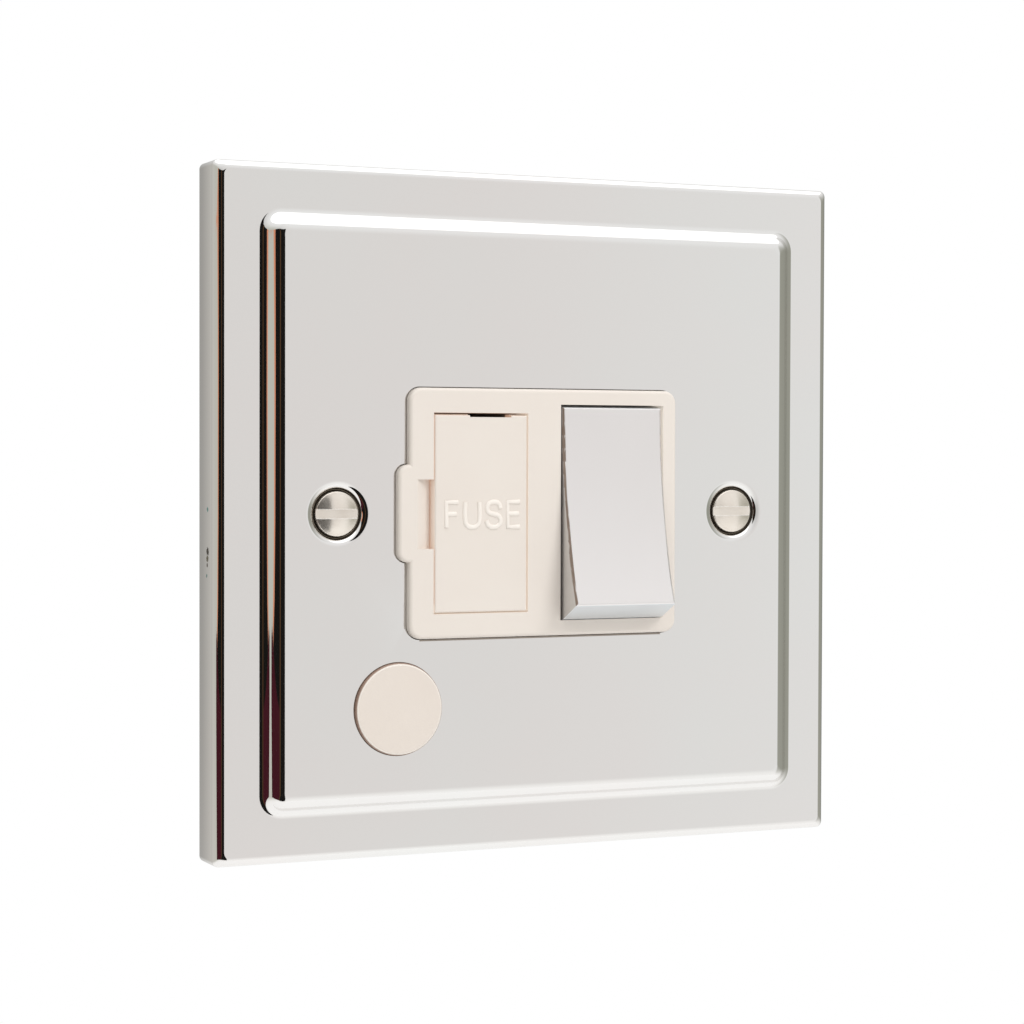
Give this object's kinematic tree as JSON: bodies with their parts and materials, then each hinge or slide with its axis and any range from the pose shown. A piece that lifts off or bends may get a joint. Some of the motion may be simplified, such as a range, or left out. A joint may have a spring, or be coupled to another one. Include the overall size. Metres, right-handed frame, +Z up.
{
  "type": "fused spur unit",
  "caption": "Stepped chrome wall plate with an ivory insert holding a fuse drawer and a rocker switch, with slotted fixing screws and a blanked flex outlet.",
  "frame": {"origin": "centre of the plate's rear edge, on the wall plane", "axes": "+X to the right seen from the room, +Y into the wall, +Z up"},
  "size_m": [0.0934, 0.0361, 0.0934],
  "materials": {
    "plate_chrome": "polished chrome plate",
    "rocker_satin": "satin chrome plate",
    "screw_nickel": "bright nickel plate",
    "ivory": "satin ivory moulding",
    "base_moulding": "matt off-white moulding",
    "brass": "drawn brass",
    "zinc_steel": "bright zinc plate",
    "spring_steel": "bright drawn steel",
    "fuse_ceramic": "glazed ceramic",
    "fuse_cap_plate": "nickel-plated caps"
  },
  "bodies": {
    "housing": {"front_plate": "plate_chrome", "front_insert": "ivory", "rear_base": "base_moulding", "fixing_screws": "screw_nickel", "flex_outlet_blank": "ivory", "cord_clamp": "base_moulding", "cord_clamp_screws": "zinc_steel", "terminal_line_in": "brass", "terminal_neutral_in": "brass", "terminal_line_out": "brass", "terminal_neutral_out": "brass", "terminal_earth": "brass", "terminal_screws": "zinc_steel", "contact_blade_line": "brass", "contact_blade_neutral": "brass", "pivot_blade_neutral": "brass", "fuse_clip_supply": "brass", "fuse_clip_load": "brass", "earth_strap": "zinc_steel", "retaining_washers": "zinc_steel", "module_screws": "zinc_steel"},
    "rocker": {"rocker": "rocker_satin", "spring_line": "spring_steel", "spring_neutral": "spring_steel"},
    "plunger_line": {"plunger_line": "spring_steel"},
    "plunger_neutral": {"plunger_neutral": "spring_steel"},
    "arm_line": {"contact_arm_line": "brass"},
    "arm_neutral": {"contact_arm_neutral": "brass"},
    "fuse_drawer": {"fuse_carrier": "ivory", "fuse_barrel": "fuse_ceramic", "fuse_cap_upper": "fuse_cap_plate", "fuse_cap_lower": "fuse_cap_plate"}
  },
  "joints": [
    {"name": "rocker_tilt", "type": "hinge", "parent": "housing", "child": "rocker", "pos_m": [0.01018, -0.0062, 0], "axis": [1, 0, 0], "range_deg": [0, 18.54]},
    {"name": "arm_line_tilt", "type": "hinge", "parent": "housing", "child": "arm_line", "pos_m": [0.00618, 0.0092, 0], "axis": [1, 0, 0], "range_deg": [-14.9, 0]},
    {"name": "arm_neutral_tilt", "type": "hinge", "parent": "housing", "child": "arm_neutral", "pos_m": [0.01418, 0.0092, 0], "axis": [1, 0, 0], "range_deg": [-14.9, 0]},
    {"name": "plunger_line_press", "type": "slide", "parent": "rocker", "child": "plunger_line", "axis": [0, -0.9869, 0.1611], "range_m": [0, 0.0006], "stiffness_N_per_m": 400, "springref_m": -0.003, "deforming": ["spring_line"]},
    {"name": "plunger_neutral_press", "type": "slide", "parent": "rocker", "child": "plunger_neutral", "axis": [0, -0.9869, 0.1611], "range_m": [0, 0.0006], "stiffness_N_per_m": 400, "springref_m": -0.003, "deforming": ["spring_neutral"]},
    {"name": "fuse_drawer_slide", "type": "slide", "parent": "housing", "child": "fuse_drawer", "axis": [0, -1, 0], "range_m": [0, 0.0145]}
  ],
  "couplings": [
    {"joint": "arm_line_tilt", "follows": "rocker_tilt", "ratio": -0.8},
    {"joint": "arm_neutral_tilt", "follows": "rocker_tilt", "ratio": -0.8}
  ]
}
